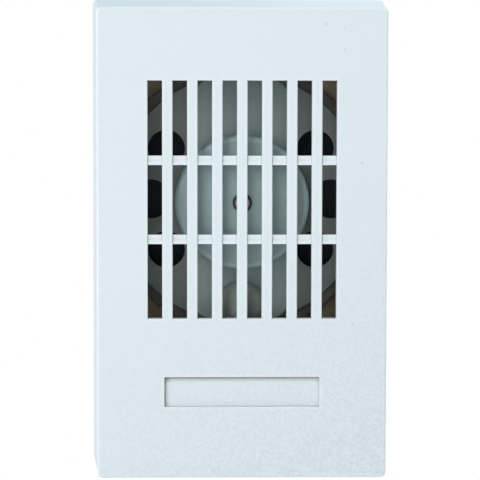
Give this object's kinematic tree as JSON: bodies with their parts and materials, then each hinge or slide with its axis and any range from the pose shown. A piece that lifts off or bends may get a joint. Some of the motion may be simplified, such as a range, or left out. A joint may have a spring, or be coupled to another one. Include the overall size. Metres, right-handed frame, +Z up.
{
  "type": "doorbell",
  "caption": "Wall doorbell: a slotted cover over a base tray holding a dome bell on a post, a strap, a sound cup with its plate, and a sprung hammer that a coil swings at the bell.",
  "frame": {"origin": "middle of the base tray's back face, on the wall", "axes": "+Y into the wall, +Z up, +X to the right of a person who faces the bell"},
  "size_m": [0.0794, 0.042, 0.1264],
  "materials": {
    "cover_plastic": "white moulding with a fine sparked grain",
    "tray_plastic": "brown moulding, satin",
    "board_brown": "brown laminated board",
    "cup_plastic": "black moulding",
    "block_plastic": "black moulding, satin",
    "bobbin_plastic": "natural nylon",
    "lead_sleeve": "thin sleeving",
    "rubber": "black rubber",
    "plated_steel": "zinc-plated sheet, dull",
    "rivet_steel": "plated steel",
    "screw_steel": "zinc-plated fasteners",
    "spring_steel": "bright spring steel",
    "hammer_metal": "turned steel, plated",
    "bell_metal": "nickel-plated bell, satin",
    "magnet_iron": "zinc-plated soft iron",
    "brass": "turned brass",
    "contact_bronze": "phosphor bronze strip",
    "contact_silver": "contact metal",
    "copper_wire": "enamelled copper wire in close turns",
    "insulator_board": "laminated board"
  },
  "bodies": {
    "base": {"base_tray": "tray_plastic", "cable_grommet": "rubber", "cover_clips": "spring_steel", "sound_cup": "cup_plastic", "upper_board": "board_brown", "lower_board": "board_brown", "board_pillars": "tray_plastic", "cup_plate": "plated_steel", "bell_strap": "plated_steel", "strap_rivets": "rivet_steel", "bell_post": "brass", "bell_spacer": "brass", "bell_shell": "bell_metal", "bell_grommet": "rubber", "bell_washer": "screw_steel", "bell_screw": "screw_steel", "magnet_yoke": "magnet_iron", "post_screw": "screw_steel", "yoke_screws": "screw_steel", "block_screw": "screw_steel", "coil_bobbin": "bobbin_plastic", "coil_winding": "copper_wire", "coil_core": "magnet_iron", "pivot_pin": "screw_steel", "pin_clips": "spring_steel", "contact_insulator": "insulator_board", "contact_bracket": "contact_bronze", "bracket_screw": "screw_steel", "contact_screw": "brass", "contact_lock_nut": "brass", "return_spring": "spring_steel", "spring_post": "screw_steel", "terminal_block": "block_plastic", "terminal_clamps": "brass", "terminal_screws": "screw_steel", "coil_lead_wires": "lead_sleeve"},
    "hammer": {"armature": "magnet_iron", "pole_shim": "brass", "hammer_arm": "rivet_steel", "hammer_ball": "hammer_metal", "contact_spring": "contact_bronze", "contact_rivets": "contact_silver"},
    "cover": {"cover": "cover_plastic"}
  },
  "joints": [
    {"name": "hammer_swing", "type": "hinge", "parent": "base", "child": "hammer", "pos_m": [0.0195, -0.023, -0.03275], "axis": [0, 1, 0], "range_deg": [0, 10.5], "stiffness_Nm_per_rad": 0.012, "springref_deg": -14.32, "deforming": ["return_spring"]},
    {"name": "cover_slide", "type": "slide", "parent": "base", "child": "cover", "axis": [0, -1, 0], "range_m": [0, 0.06]}
  ]
}
